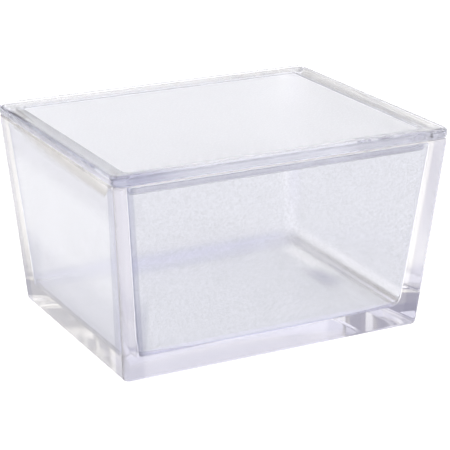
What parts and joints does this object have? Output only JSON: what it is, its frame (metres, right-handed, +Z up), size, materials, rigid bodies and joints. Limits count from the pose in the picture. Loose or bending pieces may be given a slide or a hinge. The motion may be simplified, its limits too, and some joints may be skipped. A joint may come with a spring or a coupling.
{
  "type": "covered glass trough",
  "caption": "Rectangular clear glass trough with leaning thick walls, a heavy floor and a flat lift-off lid whose shallow plug drops inside the rim.",
  "frame": {"origin": "centre of the trough's underside, on the surface it stands on", "axes": "+X along the long way, +Y along the short way, +Z up, the way the lid lifts"},
  "size_m": [0.1086, 0.0892, 0.0635],
  "materials": {
    "trough_glass": "clear pressed glass, fire polished, with a faint blue-violet cast in its thick edges",
    "lid_glass": "clear pressed glass, fire polished, with a slightly wavy top"
  },
  "bodies": {
    "trough": {"trough": "trough_glass"},
    "lid": {"lid": "lid_glass"}
  },
  "joints": [
    {"name": "lid_lift", "type": "slide", "parent": "trough", "child": "lid", "axis": [0, 0, 1], "range_m": [0, 0.06]}
  ]
}
